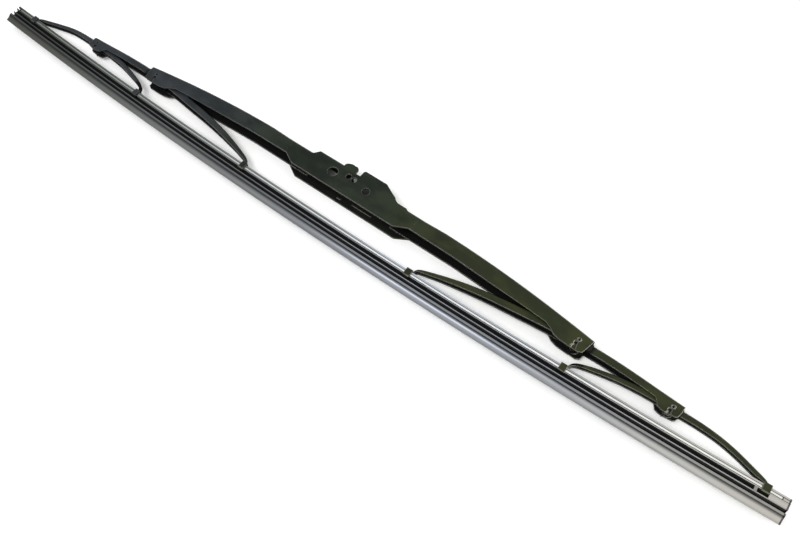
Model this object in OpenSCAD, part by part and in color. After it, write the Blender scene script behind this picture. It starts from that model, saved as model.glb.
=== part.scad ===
// Wiper blade of the lever kind: a primary lever, two secondary levers and two
// outer yokes of pressed steel channel hold a rubber lip and its two steel rails
// at six claws. The blade lies on its side: X runs along it, Y points from the lip
// to the levers, Z is its thickness. The origin is the centre of the arm pin bore.

/* [Rubber] */
// Length of the rubber
rubber_len = 550; // [520:1:600]
// How far the rubber has slid to the left of the levers' middle
rubber_shift = 3.8; // [0:0.2:6]
// Bow of the free lip: its middle stands this far below its ends
lip_bow = 8.2; // [4:0.2:12]
// Height of the rubber from lip edge to back
rubber_h = 12.5; // [11.5:0.1:14]
// Width of the rubber's back
back_w = 6.2; // [5.6:0.1:7]
// Thickness of the back above the rails
back_t = 1.3; // [1:0.1:1.6]
// Thickness of the flange below the rails
rail_flange_t = 0.7; // [0.5:0.1:1]
// Height of the groove that the claw fingers run in
claw_groove_h = 2.0; // [1.6:0.1:2.6]
// Width of the neck in the claw groove
neck_w = 2.4; // [1.8:0.1:3]
// Thickness of the lower flange
low_flange_t = 0.8; // [0.5:0.1:1.2]
// Width of the lower flange
low_flange_w = 5.4; // [4.4:0.1:6]
// Height of the hinge groove
hinge_groove_h = 1.6; // [1.2:0.1:2.2]
// Thickness of the hinge web that lets the lip tip over
hinge_w = 1.0; // [0.7:0.1:1.6]
// Width across the lip's shoulders
shoulder_w = 5.2; // [4:0.1:6]
// Height of the shoulders before the lip tapers
shoulder_h = 1.1; // [0.8:0.1:1.6]
// Thickness of the lip at its edge
lip_edge_w = 0.8; // [0.6:0.1:1.4]
// Length of the stop that closes the claw groove inside the right end claw
stop_len = 1.4; // [1:0.1:3]
// Distance between that stop and the claw
stop_gap = 1.4; // [1:0.1:3]

/* [Rails] */
// Thickness of a steel rail
rail_t = 1.0; // [0.8:0.05:1.2]
// Width of a rail across the blade
rail_w = 2.3; // [1.6:0.1:2.6]
// How far a rail stands proud of the rubber's back
rail_proud = 0.1; // [0:0.05:0.3]
// How far the rails end short of the rubber
rail_short = 4; // [2:0.5:8]
// Play between a rail and its slot
rail_play = 0.05; // [0.02:0.01:0.1]

/* [Claws] */
// Distance from the levers' middle to the end claws
claw_outer_x = 259; // [250:0.5:262]
// Distance from the middle to the left middle claw
claw_mid_left_x = 154.3; // [152:0.1:157]
// Distance from the middle to the right middle claw
claw_mid_right_x = 154.8; // [152:0.1:157]
// Distance from the middle to the inner claws
claw_inner_x = 60.5; // [56:0.5:66]
// Length of a claw along the blade
claw_len = 3.8; // [2.6:0.1:4.5]
// Play between a claw and the rubber
claw_play = 0.15; // [0.1:0.05:0.3]
// Thickness of a claw's plates and fingers
claw_t = 0.6; // [0.5:0.1:0.8]

/* [Arm seat] */
// Distance from the middle to the arm pin bore, towards the left
pin_left = 13.2; // [12:0.1:15]
// Height of the arm pin bore above the chord of the lip's ends
pin_rise = 29.2; // [27.5:0.1:30]
// Diameter of the arm pin bore
arm_pin_d = 6.35; // [5.5:0.05:6.6]
// Diameter of the small arm pin bore
small_pin_d = 4.76; // [4:0.02:5.2]
// Distance between the two arm pin bores
pin_spacing = 24.2; // [22:0.1:25]
// Diameter of each of the two clip holes
clip_hole_d = 3.4; // [2.4:0.1:3.6]
// Distance between the clip holes
clip_spacing = 4.2; // [4:0.1:5]
// Width of the hook notch
notch_w = 3.2; // [2.6:0.1:4]
// Depth of the hook notch
notch_depth = 4.6; // [3.5:0.1:5]
// Half the length of the deep middle of the primary lever
seat_half = 37; // [35:0.5:42]
// Half the length of the slot in the lever's back
slot_half = 27; // [24:0.5:29]

/* [Primary lever] */
// Distance from the middle to each main pivot
main_pivot_x = 153; // [150:0.5:156]
// Height of the main pivots above the chord of the lip's ends
main_pivot_y = 20.6; // [20:0.1:21.2]
// Distance from the middle to each end of the primary lever
primary_end_x = 160.5; // [159:0.5:164]
// Width across the primary lever at the arm seat
seat_w = 13.4; // [12.8:0.1:15]
// Width across the arms of the primary lever next to the seat
primary_w = 12.4; // [12:0.1:12.8]
// Sheet thickness of the primary lever
primary_t = 0.9; // [0.8:0.05:1]
// Height of the arms' backs over the chord of the lip, at their highest
primary_top = 34.1; // [33.5:0.1:34.6]
// Distance from the middle to the highest part of an arm
crest_x = 58; // [54:0.5:64]
// Radius of the arch of each arm beyond it
primary_r = 714; // [690:2:760]
// How far the back dips next to the seat
seat_dip = 0.6; // [0.2:0.1:0.9]
// Depth of the arms' walls next to the seat, from their highest
primary_depth = 9.9; // [9.5:0.1:10.5]
// How far a pressed pad over the arm pin bore stands above the arms
pad_rise = 2.8; // [2.4:0.1:3.2]

/* [Secondary levers] */
// Distance from the middle to each outer pivot
outer_pivot_x = 207; // [205:0.5:209]
// Height of the outer pivots above the chord of the lip's ends
outer_pivot_y = 17.7; // [17.3:0.1:18.1]
// Distance from the middle to the outer end of a secondary lever
secondary_end_x = 212.5; // [211.5:0.5:215]
// Height of its back at that end above the outer pivot
secondary_end_rise = 5.7; // [5.4:0.1:6]
// Width across a secondary lever at the main pivot
secondary_w = 6.6; // [6.4:0.1:7]
// Width across a lever's arm at an inner claw
arm_tip_w = 3.5; // [3.2:0.1:4]
// Sheet thickness of a secondary lever
secondary_t = 0.8; // [0.7:0.05:0.9]
// Depth of the walls of its arms
secondary_depth = 4.5; // [4:0.1:5]

/* [Outer yokes] */
// Width across an outer yoke
yoke_w = 3.6; // [3.4:0.1:4.2]
// Width across a yoke at its claws
yoke_tip_w = 3.2; // [3:0.1:3.6]
// Sheet thickness of an outer yoke
yoke_t = 0.7; // [0.6:0.05:0.8]
// Depth of a yoke's walls at its pivot
yoke_depth = 3.5; // [3:0.1:4]

/* [Pivots] */
// Diameter of the bosses pressed into a lever's walls
boss_d = 2.6; // [2.4:0.1:3]
// Wall of a liner and of its round collars
liner_t = 0.35; // [0.3:0.05:0.45]
// Running play of a boss in its collar, on the radius
boss_play = 0.06; // [0.03:0.01:0.09]
// Play on each flat side of a liner
liner_play = 0.06; // [0.04:0.01:0.1]
// Gap between an inner lever's back and the back over it
rock_gap = 1.0; // [0.95:0.05:1.2]
// How far a liner shows past the end of its lever
liner_past = 0.8; // [0.4:0.1:1.2]

/* [Hidden] */
$fn = 64;
RIGHT = 1;
LEFT = -1;
steel_paint = [0.13, 0.15, 0.14];
rubber_black = [0.10, 0.10, 0.10];
rail_steel = [0.72, 0.71, 0.68];
liner_black = [0.20, 0.20, 0.19];
deep = 60;
eps = 0.01;

// Widths of the nested channels, worked out from the yoke outwards
yoke_half = yoke_w / 2;
shell_gap = liner_t + 2 * liner_play;
secondary_in = yoke_half + shell_gap;
secondary_end_half = secondary_in + secondary_t;
secondary_half = max(secondary_w / 2, secondary_end_half);
primary_end_half = secondary_half + shell_gap + primary_t;
primary_half = primary_w / 2;
seat_wall = seat_w / 2;

// The lip is an arc whose centre lies far above the levers
half_len = rubber_len / 2;
lip_r = (half_len * half_len + lip_bow * lip_bow) / (2 * lip_bow);
lip_centre_y = lip_r - lip_bow;
half_angle = asin(half_len / lip_r);
back_r = lip_r - rubber_h;
function lie_angle(x) = asin((x + rubber_shift) / back_r);
function back_y(x) = lip_centre_y - back_r * cos(lie_angle(x));

// Heights in the rubber's section, from the lip edge up
z_back = rubber_h;
z_slot_top = z_back - back_t;
z_slot_low = z_slot_top - rail_t - 2 * rail_play;
z_groove_top = z_slot_low - rail_flange_t;
z_groove_low = z_groove_top - claw_groove_h;
z_hinge_top = z_groove_low - low_flange_t;
z_hinge_low = z_hinge_top - hinge_groove_h;
z_shoulder = z_hinge_low - shoulder_h;
rail_out = back_w / 2 + rail_proud;
rail_in = rail_out - rail_w;
slot_half_w = rail_in - rail_play;
claw_in = rail_out + claw_play;
claw_out = claw_in + claw_t;
finger_in = neck_w / 2 + claw_play;

// A lever's back is a table: each row is a point of its side view, the depth of the
// walls there and half the width. A smooth line runs through the rows.
function row(table, i) = table[max(0, min(len(table) - 1, i))];
function between(a, b, c, d, t) = 0.5 * (2 * b + (c - a) * t
    + (2 * a - 5 * b + 4 * c - d) * t * t + (3 * b - a - 3 * c + d) * pow(t, 3));
function smooth(table) = concat(
    [for (i = [0:len(table) - 2]) for (j = [0:row_steps - 1])
        between(row(table, i - 1), table[i], table[i + 1], row(table, i + 2), j / row_steps)],
    [table[len(table) - 1]]);
function outward(line, i) = let (
        a = row(line, i - 1),
        b = row(line, i + 1),
        along = [b[0] - a[0], b[1] - a[1]])
    [-along[1], along[0]] / norm(along);
function inside(line, i, depth) = [line[i][0], line[i][1]] - outward(line, i) * depth;
row_steps = 2;

// A pressed channel that is open downwards. The back follows the points of top,
// low are the points along the walls' lower edges, half is the half width at each
// point of top, and the bends are broken by a flat at 45 degrees.
module channel_skin(top, low, half, cut) {
    n = len(top) - 1;
    intersection() {
        linear_extrude(2 * deep, center = true)
            polygon(concat([for (v = top) [v[0], v[1]]],
                [for (i = [len(low) - 1:-1:0]) low[i]]));
        rotate([-90, 0, 0])
            linear_extrude(2 * deep, center = true)
                polygon(concat([for (i = [0:n]) [top[i][0], half[i]]],
                    [for (i = [n:-1:0]) [top[i][0], -half[i]]]));
        for_both_bends(top, half, cut);
    }
}
module for_both_bends(top, half, cut) {
    intersection() {
        bend_flat(top, half, cut, 45);
        bend_flat(top, half, cut, -45);
    }
}
module bend_flat(top, half, cut, turn) {
    n = len(top) - 1;
    rotate([turn, 0, 0])
        linear_extrude(4 * deep, center = true)
            polygon(concat(
                [for (i = [0:n]) [top[i][0], (top[i][1] + half[i] - cut) * sqrt(0.5)]],
                [[top[n][0], -2 * deep], [top[0][0], -2 * deep]]));
}
module channel(top, low, half, core_top, core_half, sheet) {
    n = len(core_top) - 1;
    difference() {
        channel_skin(top, low, half, 0.9 * sheet);
        channel_skin(core_top, [[core_top[0][0], -deep], [core_top[n][0], -deep]],
            core_half, 0.35 * sheet);
    }
}

module on_side(side) {
    mirror([side < 0 ? 1 : 0, 0, 0]) children();
}

// A claw in its own frame: u along the rubber, v up from the rubber's back
module claw(x, side) {
    on_side(side)
        translate([side * x, back_y(x), 0])
            rotate([0, 0, side * lie_angle(x)])
                difference() {
                    finger_low = z_groove_top - rubber_h - claw_play - claw_t;
                    translate([-claw_len / 2, finger_low, -claw_out])
                        cube([claw_len, claw_play + claw_t - finger_low, 2 * claw_out]);
                    translate([-claw_len, finger_low + claw_t, -claw_in])
                        cube([2 * claw_len, claw_play - finger_low - claw_t, 2 * claw_in]);
                    translate([-claw_len, finger_low - claw_t, -finger_in])
                        cube([2 * claw_len, 3 * claw_t, 2 * finger_in]);
                    for (face = [-1, 1])
                        translate([0, finger_low, face * claw_out])
                            rotate([45, 0, 0])
                                cube([2 * claw_len, claw_t, claw_t], center = true);
                }
}
function claw_top(x) = back_y(x) + claw_play + claw_t;

// Turned to lie across the blade at a pivot
module bore(d, length) {
    cylinder(h = length, d = d, center = true);
}
module bosses(wall_in, reach) {
    for (face = [-1, 1])
        translate([0, 0, face * (wall_in + eps - reach / 2)])
            cylinder(h = reach, d = boss_d, center = true);
}
boss_past = 0.3;
collar_r = boss_d / 2 + boss_play + liner_t;
pivot_hole_d = 2 * (collar_r + liner_play);

// Each arm of the primary lever rises from the seat to a crest and arches down
arm_start = slot_half + 4;
dip_end = crest_x + 6;
dip_len = 14;
function dip(x) = let (t = max(0, min(1, (dip_end - x) / dip_len)))
    seat_dip * t * t * (3 - 2 * t);
function arch_y(x) = let (past = max(0, x - crest_x))
    primary_top - dip(x) - primary_r + sqrt(primary_r * primary_r - past * past);
arch_steps = 20;
taper_start = seat_half + 9;
taper_end = main_pivot_x - 12;
function primary_half_at(x) = x < taper_start
    ? primary_half
    : max(primary_end_half, primary_half
        - (primary_half - primary_end_half) * (x - taper_start) / (taper_end - taper_start));
arm_low = primary_top - primary_depth;
ear_low = main_pivot_y - 3.9;
ear_x = main_pivot_x - 3;
end_lean = 2;
// Along the arm's lower edge: distance inboard of the ear, drop below the seat
arm_edge = [[76, 0.1], [50, 1.3], [30, 2.1], [15, 2.9]];
// Round the start of the ear: distance inboard of it, height over its lowest
ear_edge = [[11.5, 3.1], [8.5, 1.2], [5, 0.3], [0, 0]];

module primary_arm() {
    xs = [for (i = [0:arch_steps])
        arm_start + (primary_end_x - arm_start) * i / arch_steps];
    low_arm = concat(
        [[arm_start, arm_low + 4], [arm_start, arm_low], [taper_start, arm_low]],
        [for (v = arm_edge) [ear_x - v[0], arm_low - v[1]]],
        [for (v = ear_edge) [ear_x - v[0], ear_low + v[1]]],
        [[primary_end_x - end_lean - 2, ear_low], [primary_end_x - end_lean, ear_low + 1]]);
    top = [for (x = xs) [x, arch_y(x)]];
    half = [for (x = xs) primary_half_at(x)];
    xs_core = concat([arm_start - 1], [for (i = [1:arch_steps - 1]) xs[i]],
        [primary_end_x + 1]);
    core_top = [for (x = xs_core) [x, arch_y(x) - primary_t]];
    core_half = [for (x = xs_core) primary_half_at(x) - primary_t];
    channel(top, low_arm, half, core_top, core_half, primary_t);
}

// Outline of one wall of the arm seat, with the notch and its rounded tongue
seat_low = main_pivot_y - 0.6;
tongue_r = 2.4;
step_y = primary_top - 0.4;
shelf_y = primary_top + 2.4;
crown_y = primary_top + 6.3;
crown_end = 17.6;
pad_end = notch_w / 2 + 3.4;
pad_y = primary_top + pad_rise;
module seat_outline() {
    difference() {
        union() {
            polygon([[-taper_start, arm_low + 0.6], [-seat_half, seat_low],
                [seat_half, seat_low], [taper_start, arm_low + 0.6],
                [taper_start, step_y - 2], [seat_half + 1, step_y - 0.9],
                [seat_half - 0.6, step_y], [slot_half + 3.5, step_y],
                [slot_half + 1.6, step_y + 0.7], [slot_half, step_y + 2.2],
                [slot_half - 3, shelf_y + 0.7], [crown_end, crown_y],
                [notch_w / 2 + 0.9, crown_y], [notch_w / 2, crown_y - 0.9],
                [notch_w / 2, shelf_y], [-pad_end, shelf_y], [-pad_end, pad_y - 2],
                [-slot_half, pad_y - 2], [-arm_start - 1, step_y - 1.4],
                [-taper_start, step_y - 2]]);
            tongue();
        }
        translate([-notch_w / 2, crown_y - notch_depth])
            square([notch_w, notch_depth + 5]);
    }
}
// The back is raised to a closed pad over the arm pin bore and ends at the tongue
module seat_pad() {
    steps = [[-arm_start - 2, step_y - 0.9], [-arm_start, step_y],
        [-slot_half - 1.6, pad_y], [-pad_end, pad_y]];
    sunk = [for (i = [0:3]) inside(steps, i, primary_t)];
    channel(steps, [[-arm_start - 2, step_y - 3], [-pad_end, step_y - 3]],
        [for (v = steps) seat_wall],
        concat([[sunk[0][0] - 1, sunk[0][1] - 1]], [sunk[1], sunk[2]],
            [[sunk[3][0] + 1, sunk[3][1]]]),
        [for (v = steps) seat_wall - primary_t], primary_t);
}

// A short and a long ledge inside the far wall, where an arm's adapter snaps in: each
// one's middle x, length, middle y and height
ledges = [[-5, 2.6, 22.8, 0.9], [11.2, 14, 23.7, 0.6]];
ledge_out = 0.3;
module seat_ledges() {
    for (ledge = ledges)
        translate([ledge[0] - ledge[1] / 2, ledge[2] - ledge[3] / 2, primary_t - seat_wall - eps])
            cube([ledge[1], ledge[3], ledge_out + eps]);
}

// The rounded tongue to the left of the notch
tongue_len = 9;
tongue_back = 4.6;
tongue_back_r = 2.4 * tongue_r;
tongue_top = crown_y - 0.4;
tongue_foot = shelf_y - 2;
module tongue() {
    intersection() {
        translate([-notch_w / 2 - tongue_len, tongue_foot])
            square([tongue_len, tongue_top - tongue_foot + 0.1]);
        union() {
            translate([-notch_w / 2 - tongue_back, tongue_top - tongue_back_r])
                circle(r = tongue_back_r);
            translate([-notch_w / 2 - tongue_r, tongue_top - tongue_r])
                circle(r = tongue_r);
            translate([-notch_w / 2 - tongue_r, tongue_foot])
                square([tongue_r, tongue_top - tongue_foot - tongue_r]);
        }
    }
}
module seat_walls() {
    difference() {
        intersection() {
            linear_extrude(2 * deep, center = true) seat_outline();
            rotate([-90, 0, 0])
                linear_extrude(2 * deep, center = true)
                    polygon([[-taper_start, primary_half], [-seat_half, seat_wall],
                        [seat_half, seat_wall], [taper_start, primary_half],
                        [taper_start, -primary_half], [seat_half, -seat_wall],
                        [-seat_half, -seat_wall], [-taper_start, -primary_half]]);
        }
        rotate([-90, 0, 0])
            linear_extrude(2 * deep, center = true)
                polygon([[-taper_start - 1, primary_half - primary_t],
                    [-seat_half, seat_wall - primary_t], [seat_half, seat_wall - primary_t],
                    [taper_start + 1, primary_half - primary_t],
                    [taper_start + 1, primary_t - primary_half],
                    [seat_half, primary_t - seat_wall], [-seat_half, primary_t - seat_wall],
                    [-taper_start - 1, primary_t - primary_half]]);
    }
}

// The two clip holes: the right one's x, and how far each lies above the pins' line
clip_right_x = 0.6;
clip_rises = [2.6, 2.4];
module arm_seat_bores() {
    through_both = 3 * seat_w;
    translate([-pin_left, pin_rise, 0]) bore(arm_pin_d, through_both);
    translate([pin_spacing - pin_left, pin_rise, 0]) bore(small_pin_d, through_both);
    for (i = [0, 1])
        translate([clip_right_x - clip_spacing * (1 - i), pin_rise + clip_rises[i], 0])
            bore(clip_hole_d, through_both);
}
module at_main_pivots() {
    for (side = [LEFT, RIGHT])
        on_side(side) translate([main_pivot_x, main_pivot_y, 0]) children();
}
module primary_lever() {
    color(steel_paint)
        difference() {
            union() {
                primary_arm();
                mirror([1, 0, 0]) primary_arm();
                seat_walls();
                seat_pad();
                seat_ledges();
                at_main_pivots() {
                    bosses(primary_end_half - primary_t, shell_gap + secondary_t + boss_past);
                    press_rims(primary_end_half);
                }
            }
            arm_seat_bores();
            at_main_pivots() press_cuts(primary_end_half, primary_t);
        }
}

// A secondary lever, drawn for the right side and mirrored for the left. Its inner
// arm rises from the outer end of a claw, and its table starts there.
secondary_end_y = outer_pivot_y + secondary_end_rise;
arm_tip_half = arm_tip_w / 2;
function claw_mid_x(side) = side < 0 ? claw_mid_left_x : claw_mid_right_x;
function from_claw(x, y, rows) = [for (v = rows) [x + v[0], y + v[1], v[2], v[3]]];
function secondary_back(side) = concat(
    from_claw(claw_inner_x + claw_len / 2 - 0.6, claw_top(side * claw_inner_x), [
        [0, -0.5, 0.9, arm_tip_half],
        [0.2, 1.2, 1.1, arm_tip_half],
        [0.9, 2.9, 1.6, arm_tip_half],
        [2.4, 4.1, 2, arm_tip_half],
        [6.1, 5.5, 2.4, arm_tip_half + 0.05],
        [12.1, 7.4, 2.8, arm_tip_half + 0.2],
        [20.1, 9.7, 3.4, arm_tip_half + 0.45],
        [30.1, 12.1, 3.9, arm_tip_half + 0.75],
        [43.1, 14.4, 4.2, arm_tip_half + 1.05],
        [58.1, 16.4, secondary_depth, secondary_half - 0.2]]),
    [[main_pivot_x - 15, outer_pivot_y + 6.2, secondary_depth, secondary_half],
        [primary_end_x, arch_y(primary_end_x) - primary_t - rock_gap,
            secondary_depth, secondary_half],
        [primary_end_x + 11.5, outer_pivot_y + 7.3, secondary_depth, secondary_half],
        [outer_pivot_x - 21, outer_pivot_y + 6.95, secondary_depth,
            (secondary_half + secondary_end_half) / 2],
        [outer_pivot_x - 8, outer_pivot_y + 6.3, secondary_depth, secondary_end_half],
        [secondary_end_x, secondary_end_y, secondary_depth, secondary_end_half]]);
yoke_tip_half = yoke_tip_w / 2;
function yoke_back(side) = concat(
    from_claw(claw_mid_x(side) + claw_len / 2 - 0.6, claw_top(side * claw_mid_x(side)), [
        [0, -0.5, 0.8, yoke_tip_half],
        [0.2, 1.5, 1, yoke_tip_half],
        [1.1, 3.5, 1.5, yoke_tip_half],
        [3.1, 5.1, 1.8, yoke_tip_half],
        [7.1, 6.8, 2.2, yoke_tip_half + 0.05],
        [13.6, 8.8, 2.6, yoke_tip_half + 0.1]]),
    [[outer_pivot_x - 26, outer_pivot_y + 1.55, yoke_depth - 0.5, yoke_half - 0.05],
        [outer_pivot_x - 14, outer_pivot_y + 3.15, yoke_depth - 0.2, yoke_half],
        [outer_pivot_x - 3, outer_pivot_y + 3.85, yoke_depth, yoke_half],
        [secondary_end_x, secondary_end_y - secondary_t - rock_gap, yoke_depth, yoke_half],
        [outer_pivot_x + 15, outer_pivot_y + 4, yoke_depth - 0.2, yoke_half],
        [outer_pivot_x + 25, outer_pivot_y + 3.3, yoke_depth - 0.5, yoke_half - 0.05]],
    from_claw(claw_outer_x, claw_top(side * claw_outer_x), [
        [-18.5, 7, 2.9, yoke_tip_half + 0.1],
        [-11.5, 5.2, 2.8, yoke_tip_half],
        [-6, 3.6, 2.7, yoke_tip_half],
        [-2.2, 2.5, 2.2, yoke_tip_half],
        [0, 1.3, 1.5, yoke_tip_half],
        [1.3, -0.4, 0.8, yoke_tip_half]]));

// The walls' lower edges fade out over the rubber at a claw
function over_rubber(v, side) = [v[0], max(v[1], back_y(side * v[0]) + 3 * claw_play)];
function low_points(line, sheet, side) = [for (i = [0:len(line) - 1])
    over_rubber(inside(line, i, max(sheet, line[i][2])), side)];

module lever_shell(line, sheet, side) {
    n = len(line) - 1;
    difference() {
        union() {
            channel_skin(line, low_points(line, sheet, side), [for (v = line) v[3]],
                0.9 * sheet);
            children();
        }
        under = [for (i = [0:n]) inside(line, i, sheet)];
        past = [under[n][0] + 1, under[n][1]];
        channel_skin(concat(under, [past]), [[under[0][0], -deep], [past[0], -deep]],
            concat([for (v = line) v[3] - sheet], [line[n][3] - sheet]), 0.35 * sheet);
    }
}

// The lobe of a wall below a pivot
module ear(x, y, r, length) {
    translate([x, y, 0])
        intersection() {
            cylinder(h = length, r = r, center = true);
            translate([-2 * r, -2 * r, -length])
                cube([4 * r, 2 * r + 1, 2 * length]);
        }
}

// What a press leaves outside a pivot: the boss's dimple, a shallow ramp down to the
// wall's edge with a ridge along its inner side, and a crimp with a raised rim above
dimple_share = 0.7;
dimple_d = boss_d - 0.4;
ramp_share = 0.3;
ramp = [[-0.9, -2.8], [-0.1, -0.5], [0.9, -0.5], [1.9, -3.7], [-0.1, -5]];
ridge_at = [-1.1, -1.6];
ridge_turn = 63;
ridge_size = [2.8, 0.5];
crimp_at = [0.6, 2.4];
crimp_r = 0.8;
rim_w = 0.55;
proud = 0.15;
module on_both_walls(half) {
    for (face = [0, 1])
        mirror([0, 0, face]) translate([0, 0, half]) children();
}
module press_cuts(half, sheet) {
    on_both_walls(half) {
        cylinder(h = 2 * dimple_share * sheet, d = dimple_d, center = true);
        translate(crimp_at) cylinder(h = dimple_share * sheet, r = crimp_r, center = true);
        linear_extrude(2 * ramp_share * sheet, center = true) polygon(ramp);
    }
}
module press_rims(half) {
    on_both_walls(half) {
        translate([crimp_at[0], crimp_at[1], -proud])
            cylinder(h = 2 * proud, r1 = crimp_r + rim_w, r2 = crimp_r + rim_w / 2);
        translate(ridge_at)
            rotate([0, 0, ridge_turn])
                cube([ridge_size[0], ridge_size[1], 2 * proud], center = true);
    }
}

module secondary_lever(side) {
    ear_r = collar_r + 1.7;
    ear_top = outer_pivot_y + 2.4;
    end_ear = [[-9.5, 2.4], [-7.4, 0.4], [-5.9, -1.8], [-3.4, -2.5], [-0.4, -2.5], [3.8, -1.9]];
    color(steel_paint) {
        on_side(side)
            difference() {
                union() {
                    difference() {
                        lever_shell(smooth(secondary_back(side)), secondary_t, side) {
                            ear(main_pivot_x, main_pivot_y, ear_r, 2 * secondary_half);
                            linear_extrude(2 * secondary_end_half, center = true)
                                polygon(concat(
                                    [for (v = end_ear) [outer_pivot_x + v[0], outer_pivot_y + v[1]]],
                                    [[secondary_end_x - 0.6, outer_pivot_y - 1],
                                        [secondary_end_x, ear_top]]));
                        }
                        translate([main_pivot_x, main_pivot_y, 0])
                            bore(pivot_hole_d, 3 * secondary_half);
                    }
                    translate([outer_pivot_x, outer_pivot_y, 0]) {
                        bosses(secondary_in, shell_gap + yoke_t + boss_past);
                        press_rims(secondary_end_half);
                    }
                }
                translate([outer_pivot_x, outer_pivot_y, 0])
                    press_cuts(secondary_end_half, secondary_t);
            }
        claw(side * claw_inner_x, side);
    }
}

// An outer yoke has a claw at each end and is hung from the secondary lever
module outer_yoke(side) {
    color(steel_paint) {
        on_side(side)
            difference() {
                lever_shell(smooth(yoke_back(side)), yoke_t, side)
                    ear(outer_pivot_x, outer_pivot_y, collar_r + 0.9, 2 * yoke_half);
                translate([outer_pivot_x, outer_pivot_y, 0])
                    bore(pivot_hole_d, 3 * yoke_half);
            }
        claw(side * claw_mid_x(side), side);
        claw(side * claw_outer_x, side);
    }
}

// A liner is a thin saddle over the inner lever, with a collar in each pivot hole
liner_steps = 6;
collar_reach = 0.7;
module liner(line, pivot, half, from_x, to_x) {
    height = [for (v = line) [v[0], v[1]]];
    function over(x, gap) = [x, lookup(x, height) + gap];
    xs = [for (i = [0:liner_steps]) from_x + (to_x - from_x) * i / liner_steps];
    top = [for (x = xs) over(x, liner_play + liner_t)];
    under = concat([over(from_x, liner_play) - [2, 0]],
        [for (x = xs) over(x, liner_play)], [over(to_x, liner_play) + [2, 0]]);
    low_y = pivot[1] - collar_r - 0.5;
    skirt = collar_r + 1.6;
    wide = half + liner_play + liner_t;
    color(liner_black)
        difference() {
            union() {
                difference() {
                    channel_skin(top, [[from_x, pivot[1]], [pivot[0] - skirt, low_y + 0.9],
                            [pivot[0] - skirt + 1.4, low_y], [pivot[0] + skirt - 1.4, low_y],
                            [pivot[0] + skirt, low_y + 0.9], [to_x, pivot[1] + 0.6]],
                        [for (x = xs) wide], 0.5);
                    channel_skin(under, [[from_x - 2, -deep], [to_x + 2, -deep]],
                        [for (v = under) half + liner_play], 0.3);
                }
                for (face = [-1, 1])
                    translate([pivot[0], pivot[1], face * (half - collar_reach / 2 + shell_gap / 2)])
                        cylinder(h = collar_reach + shell_gap - 2 * liner_play - 0.02,
                            r = collar_r, center = true);
            }
            translate([pivot[0], pivot[1], 0])
                bore(2 * (boss_d / 2 + boss_play), 3 * seat_w);
        }
}
module main_liner(side) {
    on_side(side)
        liner(smooth(secondary_back(side)), [main_pivot_x, main_pivot_y], secondary_half,
            main_pivot_x - 5, primary_end_x + liner_past);
}
module outer_liner(side) {
    on_side(side)
        liner(smooth(yoke_back(side)), [outer_pivot_x, outer_pivot_y], yoke_half,
            outer_pivot_x - 4, secondary_end_x + liner_past / 2);
}

// The rubber and its rails are bent to the arc of the lip. Points of a section are
// the half width and the height above the lip edge.
module along_arc(from_angle, to_angle) {
    translate([-rubber_shift, lip_centre_y, 0])
        rotate([0, 0, from_angle - 90])
            rotate_extrude(angle = to_angle - from_angle)
                children();
}
module section(points) {
    polygon([for (v = points) [lip_r - v[1], v[0]]]);
}
lip_steps = 5;
right_half = concat(
    [for (i = [0:lip_steps]) [
        lip_edge_w / 2 + (shoulder_w - lip_edge_w) / 2 * pow(i / lip_steps, 1.5),
        z_shoulder * i / lip_steps]],
    [[shoulder_w / 2, z_hinge_low], [hinge_w / 2 + 0.3, z_hinge_low + 0.1],
        [hinge_w / 2, z_hinge_low + 0.4], [hinge_w / 2, z_hinge_top - 0.4],
        [hinge_w / 2 + 0.4, z_hinge_top - 0.05], [low_flange_w / 2, z_hinge_top + 0.15],
        [low_flange_w / 2, z_groove_low - 0.1], [neck_w / 2, z_groove_low],
        [neck_w / 2, z_groove_top], [back_w / 2, z_groove_top], [back_w / 2, z_slot_low],
        [slot_half_w, z_slot_low], [slot_half_w, z_slot_top], [back_w / 2, z_slot_top],
        [back_w / 2, z_back - 0.3], [back_w / 2 - 0.3, z_back]]);
rail_angle = asin((half_len - rail_short) / lip_r);
rail_end_gap = 0.004;
fill_inset = 0.15;
fill_lap = 0.3;
module filled(low, high, from_angle, to_angle) {
    half = back_w / 2 - fill_inset;
    along_arc(from_angle, to_angle)
        section([[half, low - fill_lap], [half, high + fill_lap],
            [-half, high + fill_lap], [-half, low - fill_lap]]);
}
module wiper_rubber() {
    clear = claw_len / 2 + 2 * claw_play;
    stop_end = claw_outer_x - claw_len / 2 - stop_gap;
    color(rubber_black) {
        along_arc(-half_angle, half_angle)
            section(concat(right_half,
                [for (i = [len(right_half) - 1:-1:0]) [-right_half[i][0], right_half[i][1]]]));
        filled(z_groove_low, z_groove_top, lie_angle(claw_outer_x + clear), half_angle);
        filled(z_groove_low, z_groove_top, lie_angle(stop_end - stop_len), lie_angle(stop_end));
        filled(z_slot_low, z_slot_top, rail_angle + rail_end_gap, half_angle);
    }
}
module rail(face) {
    low = z_slot_low + rail_play;
    color(rail_steel)
        along_arc(-rail_angle, rail_angle)
            section([[face * rail_in, low], [face * rail_out, low],
                [face * rail_out, low + rail_t], [face * rail_in, low + rail_t]]);
}

// Everything is drawn about the levers' middle and moved to the arm pin's bore
module placed() {
    translate([pin_left, -pin_rise, 0]) children();
}
placed() primary_lever();
placed() secondary_lever(LEFT);  // left_secondary_lever
placed() secondary_lever(RIGHT);  // right_secondary_lever
placed() outer_yoke(LEFT);  // left_outer_yoke
placed() outer_yoke(RIGHT);  // right_outer_yoke
placed() main_liner(LEFT);  // left_main_liner
placed() main_liner(RIGHT);  // right_main_liner
placed() outer_liner(LEFT);  // left_outer_liner
placed() outer_liner(RIGHT);  // right_outer_liner
placed() wiper_rubber();
placed() rail(1);  // front_rail
placed() rail(-1);  // back_rail
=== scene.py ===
import math

import bpy
from mathutils import Matrix, Vector


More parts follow.
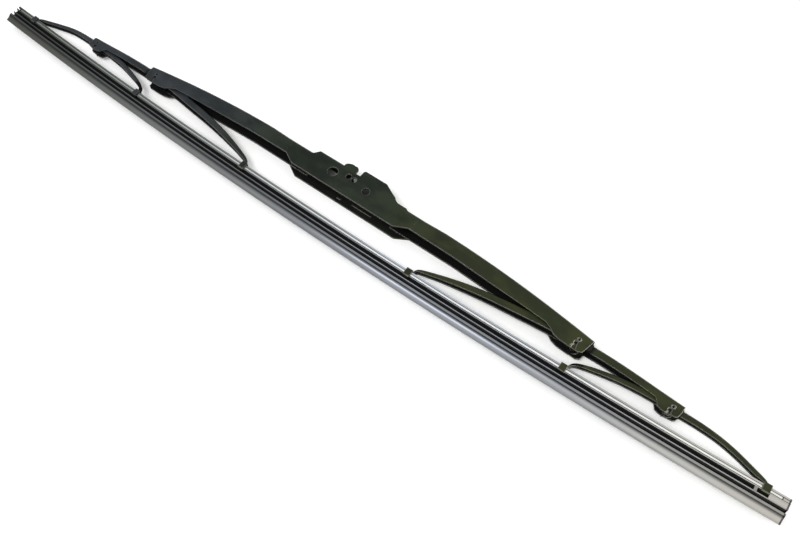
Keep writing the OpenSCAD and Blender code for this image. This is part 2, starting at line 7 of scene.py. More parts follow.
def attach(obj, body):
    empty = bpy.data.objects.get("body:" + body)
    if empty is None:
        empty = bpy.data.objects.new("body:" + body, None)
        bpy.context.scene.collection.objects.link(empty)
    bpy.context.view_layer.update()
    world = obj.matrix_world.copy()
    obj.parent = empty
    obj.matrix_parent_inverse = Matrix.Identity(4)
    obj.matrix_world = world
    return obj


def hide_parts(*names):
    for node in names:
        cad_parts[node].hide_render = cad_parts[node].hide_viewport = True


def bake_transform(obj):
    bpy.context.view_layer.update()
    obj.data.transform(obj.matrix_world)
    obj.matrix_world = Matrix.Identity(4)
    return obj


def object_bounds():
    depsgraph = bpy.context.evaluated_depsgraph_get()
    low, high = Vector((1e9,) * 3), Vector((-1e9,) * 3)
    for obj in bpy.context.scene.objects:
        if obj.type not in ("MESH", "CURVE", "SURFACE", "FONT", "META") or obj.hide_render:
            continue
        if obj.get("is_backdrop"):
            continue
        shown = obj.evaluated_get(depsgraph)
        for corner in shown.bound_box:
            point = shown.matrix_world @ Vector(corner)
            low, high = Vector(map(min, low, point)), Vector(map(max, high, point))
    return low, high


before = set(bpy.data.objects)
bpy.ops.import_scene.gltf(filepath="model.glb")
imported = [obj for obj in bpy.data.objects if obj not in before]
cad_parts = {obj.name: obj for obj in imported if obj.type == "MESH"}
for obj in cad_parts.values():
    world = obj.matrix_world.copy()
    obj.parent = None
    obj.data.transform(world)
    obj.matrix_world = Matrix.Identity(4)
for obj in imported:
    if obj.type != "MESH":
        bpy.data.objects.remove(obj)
low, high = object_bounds()

MM = 0.001

# The blade frame, in millimetres: x from the levers' middle, y from the chord of the
# lip's ends, z from the middle of the thickness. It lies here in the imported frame.
BLADE_X, BLADE_Y = 13.2, -29.2

# Sizes of the rubber and its rails, the same as in the construction
RUBBER_LEN, RUBBER_SHIFT, LIP_BOW, RUBBER_H = 550, 3.8, 8.2, 12.5
BACK_W, BACK_T, FLANGE_T = 6.2, 1.3, 0.7
GROOVE_H, NECK_W = 2.0, 2.4
LOW_FLANGE_T, LOW_FLANGE_W = 0.8, 5.4
HINGE_H, HINGE_W = 1.6, 1.0
SHOULDER_W, SHOULDER_H, LIP_EDGE_W = 5.2, 1.1, 0.8
STOP_LEN, STOP_GAP = 1.4, 1.4
RAIL_T, RAIL_W, RAIL_PROUD, RAIL_SHORT, RAIL_PLAY = 1.0, 2.3, 0.1, 4, 0.05
CLAW_OUTER, CLAW_MID_L, CLAW_MID_R, CLAW_INNER = 259, 154.3, 154.8, 60.5
CLAW_LEN, CLAW_PLAY = 3.8, 0.15

HALF_LEN = RUBBER_LEN / 2
LIP_R = (HALF_LEN**2 + LIP_BOW**2) / (2 * LIP_BOW)
CENTRE_Y = LIP_R - LIP_BOW
BACK_R = LIP_R - RUBBER_H
HALF_ANGLE = math.asin(HALF_LEN / LIP_R)
RAIL_ANGLE = math.asin((HALF_LEN - RAIL_SHORT) / LIP_R)

SLOT_TOP = RUBBER_H - BACK_T
SLOT_LOW = SLOT_TOP - RAIL_T - 2 * RAIL_PLAY
GROOVE_TOP = SLOT_LOW - FLANGE_T
GROOVE_LOW = GROOVE_TOP - GROOVE_H
HINGE_TOP = GROOVE_LOW - LOW_FLANGE_T
HINGE_LOW = HINGE_TOP - HINGE_H
SHOULDER_Y = HINGE_LOW - SHOULDER_H
RAIL_OUT = BACK_W / 2 + RAIL_PROUD
RAIL_IN = RAIL_OUT - RAIL_W


def blade(x, y, z):
    """A point of the blade frame in millimetres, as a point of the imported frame."""
    return Vector(((x + BLADE_X) * MM, (y + BLADE_Y) * MM, z * MM))


def lie_angle(x):
    return math.asin((x + RUBBER_SHIFT) / BACK_R)


# ---------------------------------------------------------------- materials

# Where the looks change along the imported frame, in metres. In each pair the change
# starts at the first value and is full at the second.
# The paint's left and right tints are painted reflection.
LEFT_REFLECTION_TINT, RIGHT_REFLECTION_TINT = (-0.02, -0.13), (0.02, 0.10)
LEVER_ENDS_FROM, LEVER_ENDS_TO = (0.155, 0.160), (0.235, 0.230)
# The rubber's greys along the blade are painted reflection.
REFLECTION_GREY, REFLECTION_BLACK, REFLECTION_PALE = (0.09, -0.07), (-0.04, -0.26), (0.13, 0.29)
RAIL_DARKER = (0.05, -0.22)

# Distances from the levers' middle and from the middle of the thickness, in metres
MAIN_PIVOT = 0.153
PIVOT_SHADE, INSIDE_WALLS = (0.011, 0.008), (0.0040, 0.0036)
SEAT_LIGHT_END, SEAT_LIGHT_LOW, SEAT_LIGHT_CHANGE = (0.031, 0.027), (0.0015, 0.003), (0.007, 0.010)
SEAT_WALL_FROM, SEAT_WALL_TO = (0.0055, 0.0057), (0.0061, 0.0059)

# The part of the lip that shines most, and how far from it the painted light on the coat
# changes
SHINE_PLACE = 0.09
SHINE_REACH, SIDE_LIGHT_GAIN = (0.085, 0.02), (0.07, 0.19)

EDGE_RADIUS, EDGE_TURN = 0.0005, (0.004, 0.12)
# The reach of the painted shade inside the channels, and the openness over which it fades
PAINTED_SHADE_REACH, PAINTED_SHADE_FROM = 0.014, (0.72, 0.96)

SHADE, DUST, EDGE_GREY = (0.002, 0.002, 0.002), (0.035, 0.038, 0.032), (0.11, 0.11, 0.095)
SEAT_LIGHT_PALE, SEAT_LIGHT_DARK = (0.36, 0.37, 0.34), (0.035, 0.037, 0.033)
RUBBED_EDGE_HIGHLIGHT, END_HIGHLIGHT = (0.27, 0.265, 0.24), (0.50, 0.47, 0.40)
UNCOATED, SHINE = (0.004, 0.0045, 0.008), (0.60, 0.64, 0.76)


class Tree:
    """A material and short calls that add its nodes."""

    def __init__(self, name):
        self.material = bpy.data.materials.new(name)
        self.material.use_nodes = True
        self.nodes = self.material.node_tree.nodes
        self.links = self.material.node_tree.links
        self.nodes.clear()

    def set(self, made, inputs):
        for key, value in inputs.items():
            socket = made.inputs[key]
            if isinstance(value, bpy.types.NodeSocket):
                self.links.new(value, socket)
            else:
                socket.default_value = value

    def add(self, kind, inputs=(), **fields):
        made = self.nodes.new(kind)
        for key, value in fields.items():
            setattr(made, key, value)
        self.set(made, dict(inputs))
        return made

    def maths(self, operation, a, b=0.0, clamp=False):
        made = self.add("ShaderNodeMath", {0: a, 1: b}, operation=operation, use_clamp=clamp)
        return made.outputs[0]

    def both(self, a, b):
        """The product of two shares, held between 0 and 1."""
        return self.maths("MULTIPLY", a, b, clamp=True)

    def rest(self, share):
        return self.maths("SUBTRACT", 1.0, share)

    def apart(self, value, place):
        """The distance of a value from a place."""
        return self.maths("ABSOLUTE", self.maths("SUBTRACT", value, place))

    def ramp(self, value, from_low, from_high, to_low=0.0, to_high=1.0):
        made = self.add(
            "ShaderNodeMapRange",
            {"Value": value, "From Min": from_low, "From Max": from_high,
             "To Min": to_low, "To Max": to_high},
            interpolation_type="SMOOTHSTEP",
        )
        return made.outputs[0]

    def mix(self, factor, a, b):
        made = self.add("ShaderNodeMix", data_type="RGBA")
        self.set(made, {0: factor})
        for index, value in ((6, a), (7, b)):
            if isinstance(value, tuple):
                made.inputs[index].default_value = (*value, 1)
            else:
                self.links.new(value, made.inputs[index])
        return made.outputs[2]

    def noise(self, scale, detail=3.0, stretch=(1, 1, 1), rough=0.55):
        mapped = self.add("ShaderNodeMapping", {0: self.place(), "Scale": stretch})
        made = self.add(
            "ShaderNodeTexNoise",
            {"Vector": mapped.outputs[0], "Scale": scale, "Detail": detail, "Roughness": rough},
        )
        return made.outputs[0]

    def part_of(self, vector, axis):
        """How far a vector reaches along one axis."""
        return self.add("ShaderNodeSeparateXYZ", {0: vector}).outputs[axis]

    def facing(self, other):
        """How far the surface's normal points along another direction, from -1 to 1."""
        geometry = self.add("ShaderNodeNewGeometry")
        made = self.add(
            "ShaderNodeVectorMath", {0: geometry.outputs["Normal"], 1: other},
            operation="DOT_PRODUCT",
        )
        return made.outputs["Value"]

    def softened(self, radius):
        """The normal that edges would have if they were rounded."""
        return self.add("ShaderNodeBevel", {"Radius": radius}, samples=6).outputs[0]

    def edges(self, softened):
        """Near one where the softened normal leaves the true one, at a sharp edge."""
        return self.ramp(self.rest(self.facing(softened)), *EDGE_TURN)

    def openness(self, reach):
        """Near one in the open, lower where the same piece's walls stand close."""
        made = self.add("ShaderNodeAmbientOcclusion", {"Distance": reach}, samples=8)
        made.only_local = True
        return made.outputs["AO"]

    def centred(self):
        """How far along the blade a point lies from the levers' middle, either way."""
        return self.apart(self.along("X"), BLADE_X * MM)

    def place(self):
        return self.add("ShaderNodeTexCoord").outputs["Object"]

    def along(self, axis):
        """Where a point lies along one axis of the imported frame."""
        return self.part_of(self.place(), axis)

    def bumped(self, height, strength, distance, normal=None):
        made = self.add(
            "ShaderNodeBump", {"Height": height, "Strength": strength, "Distance": distance}
        )
        if normal:
            self.links.new(normal, made.inputs["Normal"])
        return made.outputs[0]

    def shade(self, colour, rough, **inputs):
        shader = self.add("ShaderNodeBsdfPrincipled")
        self.set(shader, {"Roughness": rough})
        if isinstance(colour, tuple):
            shader.inputs["Base Color"].default_value = (*colour, 1)
        else:
            self.links.new(colour, shader.inputs["Base Color"])
        self.set(shader, {key.replace("_", " "): value for key, value in inputs.items()})
        out = self.add("ShaderNodeOutputMaterial")
        self.links.new(shader.outputs[0], out.inputs[0])
        return self.material


def lever_paint():
    """Satin black paint on pressed steel, tinted bluish to the left and olive to the right by a
    painted reflection. Cut and pressed edges are rubbed to bare grey, and those facing down,
    endwise and to the right near the right pivot also carry a painted highlight. The faces have
    a little dust, the channels are dull inside and darkened by painted shade, as are the
    insides at the main pivots, and the inner faces of the seat's walls get painted light."""
    tree = Tree("lever_paint")
    speckle = tree.noise(900, detail=4)
    cloud = tree.ramp(tree.noise(85, detail=5, stretch=(0.6, 1, 1)), 0.38, 0.66)
    rubs = tree.noise(160, detail=6, stretch=(0.25, 1, 1), rough=0.7)
    place = tree.along("X")
    # Painted reflection: the paint is tinted bluish to the left and olive to the right.
    left, right = tree.ramp(place, *LEFT_REFLECTION_TINT), tree.ramp(place, *RIGHT_REFLECTION_TINT)
    dark = tree.mix(right, (0.003, 0.006, 0.002), (0.012, 0.016, 0.003))
    pale = tree.mix(right, (0.013, 0.019, 0.009), (0.024, 0.029, 0.006))
    dark = tree.mix(left, dark, (0.012, 0.015, 0.018))
    pale = tree.mix(left, pale, (0.025, 0.028, 0.033))
    black = tree.mix(cloud, dark, pale)
    colour = tree.mix(tree.ramp(rubs, 0.55, 0.8, 0, 0.5), black, DUST)

    depth = tree.maths("ABSOLUTE", tree.along("Z"))
    # Painted shade: deep between the walls at the main pivots the paint takes the shade colour
    # and loses its rubbed edges.
    at_pivot = tree.ramp(tree.apart(tree.centred(), MAIN_PIVOT), *PIVOT_SHADE)
    outside_pivot_shade = tree.rest(tree.both(at_pivot, tree.ramp(depth, *INSIDE_WALLS)))
    soft = tree.softened(EDGE_RADIUS)
    edge = tree.both(tree.edges(soft), outside_pivot_shade)
    worn = tree.both(edge, tree.ramp(speckle, 0.4, 0.7, 0.15, 0.75))
    colour = tree.mix(tree.both(worn, 0.6), colour, EDGE_GREY)

    # Painted shade: where the same piece's walls stand close the colour goes to the shade
    # colour, and the paint is duller there.
    out_of_painted_shade = tree.both(tree.ramp(tree.openness(PAINTED_SHADE_REACH), *PAINTED_SHADE_FROM), outside_pivot_shade)
    colour = tree.mix(out_of_painted_shade, SHADE, colour)
    # Painted light: the inner faces of the seat's walls, seen through its holes, are paler to
    # the left and nearly black to the right.
    seat_wall = tree.both(
        tree.ramp(depth, *SEAT_WALL_FROM), tree.ramp(depth, *SEAT_WALL_TO)
    )
    high = tree.both(tree.ramp(tree.along("Y"), *SEAT_LIGHT_LOW), seat_wall)
    lit_seat_patch = tree.both(tree.ramp(tree.centred(), *SEAT_LIGHT_END), high)
    painted_light_in_seat = tree.mix(tree.ramp(place, *SEAT_LIGHT_CHANGE), SEAT_LIGHT_PALE, SEAT_LIGHT_DARK)
    colour = tree.mix(lit_seat_patch, colour, painted_light_in_seat)

    # Partly rubbed steel and partly painted highlight: the edges facing down and endwise are
    # lightened, less so to the left.
    side = tree.ramp(tree.maths("ABSOLUTE", tree.facing((0, 0, 1))), 0.6, 0.8)
    down = tree.ramp(tree.part_of(soft, "Y"), -0.12, -0.4)
    endwise = tree.ramp(tree.maths("ABSOLUTE", tree.part_of(soft, "X")), 0.2, 0.5)
    highlit_edges = tree.both(tree.maths("MAXIMUM", down, endwise), side)
    bare = tree.both(highlit_edges, tree.ramp(speckle, 0.3, 0.6, 0.45, 0.95))
    bare = tree.both(bare, tree.ramp(left, 0, 1, 1, 0.45))
    colour = tree.mix(tree.both(bare, outside_pivot_shade), colour, RUBBED_EDGE_HIGHLIGHT)
    # Painted highlight: edges facing right around the right main pivot are lit pale grey.
    lever_ends = tree.both(
        tree.ramp(place, *LEVER_ENDS_FROM), tree.ramp(place, *LEVER_ENDS_TO)
    )
    end_highlight = tree.both(tree.ramp(tree.part_of(soft, "X"), 0.04, 0.3), side)
    colour = tree.mix(tree.both(end_highlight, lever_ends), colour, END_HIGHLIGHT)
    gloss = tree.both(out_of_painted_shade, 0.8)
    rough = tree.maths("SUBTRACT", tree.ramp(cloud, 0, 1, 1.14, 1.26), gloss)
    return tree.shade(
        colour, rough, Specular_IOR_Level=0.22,
        Normal=tree.bumped(speckle, 0.12, 0.00004, soft),
    )


def liner_plastic():
    """Matt black plastic with a faint grain."""
    tree = Tree("liner_plastic")
    grain = tree.noise(1400, detail=3)
    colour = tree.mix(grain, (0.005, 0.005, 0.005), (0.018, 0.017, 0.015))
    return tree.shade(
        colour, 0.6, Specular_IOR_Level=0.15, Normal=tree.bumped(grain, 0.2, 0.00003)
    )


def rubber_bare():
    """Plain black rubber, deep in the grooves."""
    tree = Tree("rubber_bare")
    grain = tree.noise(2600, detail=2)
    colour = tree.mix(grain, (0.002, 0.002, 0.002), (0.006, 0.006, 0.007))
    return tree.shade(
        colour, 0.55, Specular_IOR_Level=0.08, Normal=tree.bumped(grain, 0.15, 0.00003)
    )


def rubber_coated():
    """Black rubber with a rubbed-in graphite coat, as strong as the mesh's coat attribute says,
    which also holds painted light and shade. On it a painted reflection: a grey sheen drawn out
    along the blade, darker to the left and paler to the right, with a painted bluish highlight
    along the crest of the lip's right half."""
    tree = Tree("rubber_coated")
    drawn = tree.noise(420, detail=5, stretch=(0.03, 1, 1), rough=0.6)
    cloud = tree.noise(38, detail=4, stretch=(0.3, 1, 1))
    grain = tree.noise(2600, detail=2)
    place = tree.along("X")
    sheen = tree.mix(drawn, (0.24, 0.255, 0.28), (0.38, 0.40, 0.43))
    sheen = tree.mix(tree.ramp(cloud, 0.45, 0.75, 0, 0.35), sheen, (0.16, 0.17, 0.175))
    # Painted reflection: the sheen darkens to grey and then near black toward the left, and
    # turns pale toward the right.
    sheen = tree.mix(tree.ramp(place, *REFLECTION_GREY), sheen, (0.15, 0.155, 0.155))
    sheen = tree.mix(tree.ramp(place, *REFLECTION_BLACK), sheen, (0.058, 0.060, 0.050))
    sheen = tree.mix(tree.ramp(place, *REFLECTION_PALE), sheen, (0.41, 0.395, 0.36))
    # Painted highlight: a bluish shine along the lip's crest around the shining place, and
    # painted light that strengthens the coat away from it.
    away = tree.apart(place, SHINE_PLACE)
    coat_and_light = tree.add("ShaderNodeAttribute", attribute_name="coat_and_light").outputs["Fac"]
    crest = tree.both(tree.ramp(coat_and_light, 0.8, 1.0), tree.ramp(away, *SHINE_REACH))
    sheen = tree.mix(crest, sheen, SHINE)
    coat_and_light = tree.both(coat_and_light, tree.ramp(away, *SIDE_LIGHT_GAIN, 0.9, 1.4))
    colour = tree.mix(coat_and_light, UNCOATED, sheen)
    rough = tree.ramp(drawn, 0.3, 0.7, 0.3, 0.42)
    rough = tree.maths("ADD", rough, tree.ramp(coat_and_light, 0.0, 0.5, 0.4, 0.0))
    return tree.shade(
        colour, rough, Specular_IOR_Level=0.3, Normal=tree.bumped(grain, 0.15, 0.00003)
    )


def rail_metal():
    """Drawn spring steel, darker to the left: fine lines along the rail, a few spots."""
    tree = Tree("rail_steel")
    drawn = tree.noise(1500, detail=4, stretch=(0.01, 1, 1), rough=0.7)
    spots = tree.noise(180, detail=5, stretch=(0.4, 1, 1))
    colour = tree.mix(drawn, (0.66, 0.66, 0.64), (0.90, 0.89, 0.86))
    colour = tree.mix(tree.ramp(tree.along("X"), *RAIL_DARKER), colour, (0.32, 0.33, 0.30))
    colour = tree.mix(tree.ramp(spots, 0.62, 0.8, 0, 0.6), colour, (0.2, 0.17, 0.14))
    return tree.shade(
        colour, tree.ramp(drawn, 0.3, 0.7, 0.34, 0.5), Metallic=1.0,
        Normal=tree.bumped(drawn, 0.12, 0.00002),
    )


def floor_paint():
    """Matt white, with hardly any grain, and a painted glow that grows away from the blade, so
    it is paler far from it.
    """
    tree = Tree("floor_white")
    grain = tree.noise(60, detail=2)
    colour = tree.mix(grain, (0.90, 0.90, 0.90), (0.92, 0.92, 0.92))
    away = tree.add("ShaderNodeVectorMath", {0: tree.place()}, operation="LENGTH")
    glow = tree.ramp(away.outputs["Value"], 0.35, 1.2, 0.12, 0.45)
    return tree.shade(
        colour, 0.95, Specular_IOR_Level=0.0, Emission_Color=(1, 1, 1, 1),
        Emission_Strength=glow,
    )


PAINT, LINER, STEEL = lever_paint(), liner_plastic(), rail_metal()
RUBBER, BARE_RUBBER = rubber_coated(), rubber_bare()


def material_of(name):
    if "rubber" in name:
        return RUBBER
    if "rail" in name:
        return STEEL
    return LINER if "liner" in name else PAINT


for name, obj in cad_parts.items():
    obj.data.materials.clear()
    obj.data.materials.append(material_of(name))

# ---------------------------------------------------------------- rubber and rails


def rounded(points):
    """A closed outline. Each point is width, height, the coat of the side that follows it,
    which also carries painted light and shade, and how far its corner is broken."""
    out, coats_and_light = [], []
    count = len(points)
    for i, (width, height, coat_and_light, radius) in enumerate(points):
        here = Vector((width, height))
        before = Vector(points[i - 1][:2]) - here
        after = Vector(points[(i + 1) % count][:2]) - here
        cut = min(radius, before.length * 0.4, after.length * 0.4)
        if cut:
            a, b = here + before.normalized() * cut, here + after.normalized() * cut
            out += [a, (a + b) / 4 + here / 2, b]
            coats_and_light += [max(coat_and_light, points[i - 1][2])] * 2 + [coat_and_light]
        else:
            out.append(here)
            coats_and_light.append(coat_and_light)
    return out, coats_and_light


def on_arc(width, height, angle):
    """A point of a section, carried along the arc of the lip."""
    radius = LIP_R - height
    return blade(
        radius * math.sin(angle) - RUBBER_SHIFT, CENTRE_Y - radius * math.cos(angle), width
    )


STEP_ANGLE = math.asin(2.5 / LIP_R)
CORNER_ANGLE = math.radians(30)

# Faces with less coat than this get the bare rubber, which keeps the grooves black as painted
# shade. The cut ends have a trace of the coat, and a painted shadow runs as a dark rim round
# the right end.
BARE_BELOW, END_COAT = 0.03, 0.08
RIM_LEN, RIM_SHADOW_COAT = 0.8, 0.15

# What fills the grooves ends a hair short of the rubber's own end face
FILL_END = HALF_ANGLE - 0.03 / LIP_R

# The middle of the shining part of the lip, half its length, and how far it fades
SHINE_X, SHINE_HALF, SHINE_FADE = 90, 60, 100


def side_share(angle):
    """0 along the shining part of the lip, and 1 far from it."""
    place = LIP_R * math.sin(angle) - RUBBER_SHIFT
    return min(1, max(0, (abs(place - SHINE_X) - SHINE_HALF) / SHINE_FADE))


def sweep(name, outline, start, end, caps, node, material):
    """A strip of one section along the arc, closed at the ends named in caps. The outline holds
    points, their coats, and the coats far from the shining part where those differ. A painted
    shadow takes most of the coat off the rim of the rubber's right end."""
    points, coats_and_light, side_coats_and_light = outline[0], outline[1], outline[-1]
    steps = max(1, round((end - start) / STEP_ANGLE))
    angles = [start + (end - start) * k / steps for k in range(steps + 1)]
    skin = []
    for angle in angles[1:]:
        share = side_share(angle)
        skin += [coat_and_light + (side - coat_and_light) * share for coat_and_light, side in zip(coats_and_light, side_coats_and_light)]
    # Painted shadow: a dark rim round the right end of the rubber.
    if "end" in caps and material == RUBBER and end >= FILL_END:
        angles.insert(-1, end - RIM_LEN / LIP_R)
        skin += [coat_and_light * RIM_SHADOW_COAT for coat_and_light in coats_and_light]
        steps += 1
    verts = [on_arc(width, height, angle) for angle in angles for width, height in points]
    faces = []
    count = len(points)
    for k in range(steps):
        for i in range(count):
            a, b = k * count + i, k * count + (i + 1) % count
            faces.append((a, a + count, b + count, b))
    if "start" in caps:
        faces.append(tuple(range(count)))
    if "end" in caps:
        faces.append(tuple(steps * count + i for i in reversed(range(count))))
    mesh = bpy.data.meshes.new(name)
    mesh.from_pydata(verts, [], faces)
    skin += [END_COAT] * len(caps)
    mesh.attributes.new("coat_and_light", "FLOAT", "FACE").data.foreach_set("value", skin)
    mesh.shade_smooth()
    mesh.set_sharp_from_angle(angle=CORNER_ANGLE)
    mesh.materials.append(material)
    if material == RUBBER:
        mesh.materials.append(BARE_RUBBER)
        bare = [int(coat_and_light < BARE_BELOW) for coat_and_light in skin]
        mesh.polygons.foreach_set("material_index", bare)
    obj = bpy.data.objects.new(name, mesh)
    bpy.context.scene.collection.objects.link(obj)
    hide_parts(node)
    return obj


LIP_STEPS = 12
BREAK = 0.12
SLOT_SHADOW_BAND = 0.28

# How high up the lip the coat's crest, a painted highlight, starts, how long it fades above its
# top into painted shade, both as shares of the lip, and how strong the coat of the ridges is
CREST, SIDE_CREST = (0.5, 0.26, 1), (0.24, 0.56, 0.7)
CREST_LEN, EDGE_COAT, SHOULDER_SHADE = 0.08, 0.55, 0.94


def lip_coat_and_light(share, top, fade):
    """The coat from the lip's edge up: a painted highlight fullest at the crest, and painted
    shade by the shoulders.
    """
    rise = EDGE_COAT + (1 - EDGE_COAT) * min(1, share / top) ** 2
    fall = max(0, min(1, (share - top - CREST_LEN) / fade))
    return rise * (1 - SHOULDER_SHADE * fall * fall * (3 - 2 * fall))


def rubber_section(top, fade, ridge):
    """The section of the rubber, from the lip's edge up the right and down the left."""
    slot_in = RAIL_IN - RAIL_PLAY
    right = [
        (LIP_EDGE_W / 2 + (SHOULDER_W - LIP_EDGE_W) / 2 * (i / LIP_STEPS) ** 1.5,
         SHOULDER_Y * i / LIP_STEPS, lip_coat_and_light(i / LIP_STEPS, top, fade), 0)
        for i in range(LIP_STEPS)
    ]
    # Partly painted: the grooves and thin bands beside the rail slots get next to no coat, as
    # painted shade and shadow, while the ridges get more.
    right += [
        (SHOULDER_W / 2, SHOULDER_Y, 0.62 * ridge, BREAK),
        (SHOULDER_W / 2, HINGE_LOW, 0.1, BREAK),
        (HINGE_W / 2 + 0.3, HINGE_LOW + 0.1, 0, BREAK),
        (HINGE_W / 2, HINGE_LOW + 0.4, 0, BREAK),
        (HINGE_W / 2, HINGE_TOP - 0.4, 0, BREAK),
        (HINGE_W / 2 + 0.4, HINGE_TOP - 0.05, 0.05, BREAK),
        (LOW_FLANGE_W / 2, HINGE_TOP + 0.15, 0.78 * ridge, BREAK),
        (LOW_FLANGE_W / 2, GROOVE_LOW - 0.1, 0.05, BREAK),
        (NECK_W / 2, GROOVE_LOW, 0, 0),
        (NECK_W / 2, GROOVE_TOP, 0.05, 0),
        (BACK_W / 2, GROOVE_TOP, 0.8, BREAK),
        (BACK_W / 2, SLOT_LOW - SLOT_SHADOW_BAND, 0.04, 0),
        (BACK_W / 2, SLOT_LOW, 0, 0),
        (slot_in, SLOT_LOW, 0, 0),
        (slot_in, SLOT_TOP, 0, 0),
        (BACK_W / 2, SLOT_TOP, 0.04, 0),
        (BACK_W / 2, SLOT_TOP + SLOT_SHADOW_BAND, 0.9, 0),
        (BACK_W / 2, RUBBER_H, 0.7, 0.3),
    ]
    left = [
        (-width, height, right[i - 1][2] if i else lip_coat_and_light(0, top, fade), cut)
        for i, (width, height, _, cut) in reversed(list(enumerate(right)))
    ]
    return rounded(right + left)


def rail_section(face):
    """The section of the rail on one face of the blade, with face 1 or -1."""
    out, inner = face * RAIL_OUT, face * RAIL_IN
    foot, top = SLOT_LOW + RAIL_PLAY, SLOT_LOW + RAIL_PLAY + RAIL_T
    points = [(inner, foot), (out, foot), (out, top), (inner, top)]
    return rounded([(*v, 0, BREAK) for v in (points if face > 0 else points[::-1])])


def ride_along(make, tip_angle):
    """The six pieces of a strip. Each tip goes with its outer yoke; the outer and inner pieces
    are left where they are made."""
    for side, name, claw_mid in ((-1, "left", CLAW_MID_L), (1, "right", CLAW_MID_R)):
        yoke, secondary = name + "_yoke", name + "_secondary"
        tip, mid = side * tip_angle, lie_angle(side * claw_mid)
        inner, middle = lie_angle(side * CLAW_INNER), lie_angle(0)
        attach(make(name + "_tip", tip, mid), yoke)
        for part, start, end, outer, next_in in (
            ("outer", mid, inner, yoke, secondary), ("inner", inner, middle, secondary, "root"),
        ):
            piece = make(name + "_" + part, start, end)
            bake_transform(piece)


def strip(prefix, outline, node, material):
    """A call that makes one piece of a strip. Only the pieces at the tips are closed."""

    def make(name, start, end):
        caps = () if "tip" not in name else ("start",) if start < 0 else ("end",)
        return sweep(
            prefix + "_" + name, outline, min(start, end), max(start, end), caps, node,
            material,
        )

    return make


rubber = (*rubber_section(*CREST), rubber_section(*SIDE_CREST)[1])
ride_along(strip("rubber", rubber, "wiper_rubber", RUBBER), HALF_ANGLE)
ride_along(strip("rail_front", rail_section(1), "front_rail", STEEL), RAIL_ANGLE)
ride_along(strip("rail_back", rail_section(-1), "back_rail", STEEL), RAIL_ANGLE)

FILL_INSET, FILL_LAP, FILL_BREAK = 0.15, 0.3, 0.2
STOP_COAT = 0.4
STOP_END = CLAW_OUTER - CLAW_LEN / 2 - STOP_GAP
BLOCK_START = CLAW_OUTER + CLAW_LEN / 2 + 2 * CLAW_PLAY
SLOT_END_GAP = 0.5


def filling(name, foot, top, start, end, coat_and_light=1):
    """A stretch of groove or slot that the rubber fills."""
    half = BACK_W / 2 - FILL_INSET
    points = [
        (half, foot - FILL_LAP), (half, top + FILL_LAP),
        (-half, top + FILL_LAP), (-half, foot - FILL_LAP),
    ]
    outline = rounded([(*v, coat_and_light, FILL_BREAK) for v in points])
    piece = sweep(name, outline, start, end, ("start", "end"), "wiper_rubber", RUBBER)
    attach(piece, "right_yoke")


filling(
    "rubber_stop", GROOVE_LOW, GROOVE_TOP,
    lie_angle(STOP_END - STOP_LEN), lie_angle(STOP_END), coat_and_light=STOP_COAT,
)
filling("rubber_end_block", GROOVE_LOW, GROOVE_TOP, lie_angle(BLOCK_START), FILL_END)
filling(
    "rubber_slot_end", SLOT_LOW, SLOT_TOP, RAIL_ANGLE + SLOT_END_GAP / LIP_R, FILL_END
)

# ---------------------------------------------------------------- stage

FLOOR_GAP = 0.00002
bpy.ops.mesh.primitive_plane_add(size=6, location=(0, 0, low.z - FLOOR_GAP))
floor = bpy.context.object
floor.name = "floor"
floor.data.materials.append(floor_paint())
floor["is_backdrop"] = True

world = bpy.data.worlds.new("world")
bpy.context.scene.world = world
world.use_nodes = True


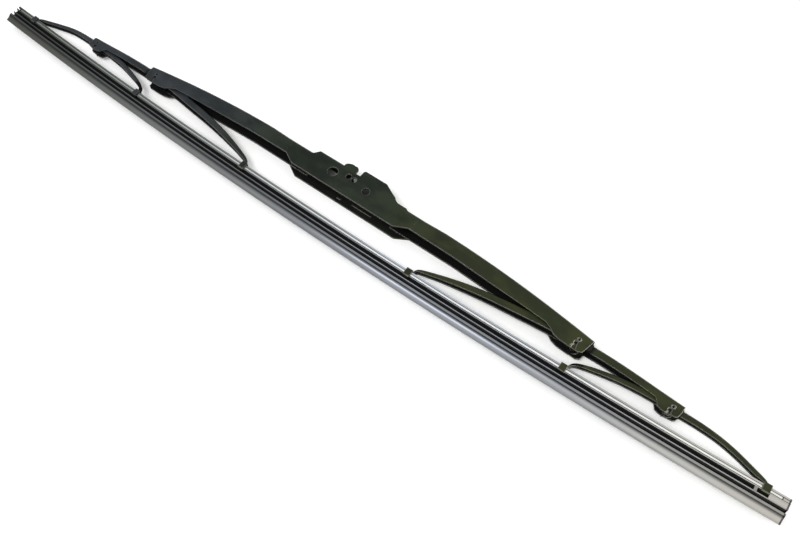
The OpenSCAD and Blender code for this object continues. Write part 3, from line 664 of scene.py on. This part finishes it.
def sky():
    """A pale room, cool and darker to the left, and darker low down in front. The
    camera sees it as plain white."""
    nodes, links = world.node_tree.nodes, world.node_tree.links
    place = nodes.new("ShaderNodeTexCoord")
    split = nodes.new("ShaderNodeSeparateXYZ")
    links.new(place.outputs["Generated"], split.inputs[0])

    def ramp(value, stops):
        made = nodes.new("ShaderNodeValToRGB")
        made.color_ramp.interpolation = "EASE"
        while len(made.color_ramp.elements) < len(stops):
            made.color_ramp.elements.new(1)
        for element, (stop, colour) in zip(made.color_ramp.elements, stops):
            element.position, element.color = stop, (*colour, 1)
        links.new(value, made.inputs[0])
        return made.outputs[0]

    def spread(value):
        """From -1 to 1 into 0 to 1."""
        made = nodes.new("ShaderNodeMath")
        made.operation = "MULTIPLY_ADD"
        links.new(value, made.inputs[0])
        made.inputs[1].default_value, made.inputs[2].default_value = 0.5, 0.5
        return made.outputs[0]

    def mixed(kind, factor, a, b):
        made = nodes.new("ShaderNodeMix")
        made.data_type, made.blend_type = "RGBA", kind
        for index, value in ((0, factor), (6, a), (7, b)):
            if isinstance(value, float):
                made.inputs[index].default_value = value
            else:
                links.new(value, made.inputs[index])
        return made.outputs[2]

    across = ramp(spread(split.outputs["X"]), (
        (0.0, (0.50, 0.55, 0.52)), (0.17, (0.60, 0.66, 0.64)),
        (0.30, (0.84, 0.90, 0.98)), (0.50, (1.0, 0.99, 0.96)), (1.0, (0.95, 0.93, 0.90)),
    ))
    up = ramp(spread(split.outputs["Z"]), (
        (0.60, (0.22, 0.22, 0.24)), (0.80, (0.45, 0.45, 0.47)), (0.90, (1.0, 1.0, 1.0)),
    ))
    front = ramp(spread(split.outputs["Y"]), ((0.25, (1, 1, 1)), (0.50, (0, 0, 0))))
    low_front = mixed("MULTIPLY", 1.0, across, up)
    room = mixed("MIX", front, across, low_front)
    seen = nodes.new("ShaderNodeLightPath").outputs["Is Camera Ray"]
    white = nodes.new("ShaderNodeRGB")
    white.outputs[0].default_value = (1, 1, 1, 1)
    links.new(mixed("MIX", seen, room, white.outputs[0]), nodes["Background"].inputs[0])
    nodes["Background"].inputs[1].default_value = 1.0


sky()


softbox = bpy.data.lights.new("overhead", "AREA")
softbox.shape, softbox.size, softbox.size_y = "RECTANGLE", 0.8, 0.4
softbox.energy, softbox.color = 7.5, (1, 0.99, 0.98)
lamp = bpy.data.objects.new("overhead", softbox)
lamp.location, aim = Vector((0.02, -0.50, 1.0)), Vector((0.05, 0, 0))
lamp.rotation_mode = "QUATERNION"
lamp.rotation_quaternion = (aim - lamp.location).to_track_quat("-Z", "Y")
bpy.context.scene.collection.objects.link(lamp)

# ---------------------------------------------------------------- camera

camera_data = bpy.data.cameras.new("camera")
camera = bpy.data.objects.new("camera", camera_data)
bpy.context.scene.collection.objects.link(camera)
camera_data.lens, camera_data.sensor_width = 35, 36
camera.location = blade(191.778, -156.225, 362.490)
right = Vector((0.79244, 0.60916, -0.03090)).normalized()
forward = Vector((-0.32877, 0.38392, -0.86285)).normalized()
up = right.cross(forward)
camera.rotation_mode = "QUATERNION"
camera.rotation_quaternion = Matrix((right, up, -forward)).transposed().to_quaternion()
bpy.context.scene.camera = camera

bpy.context.scene.view_settings.view_transform = "Standard"

low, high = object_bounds()
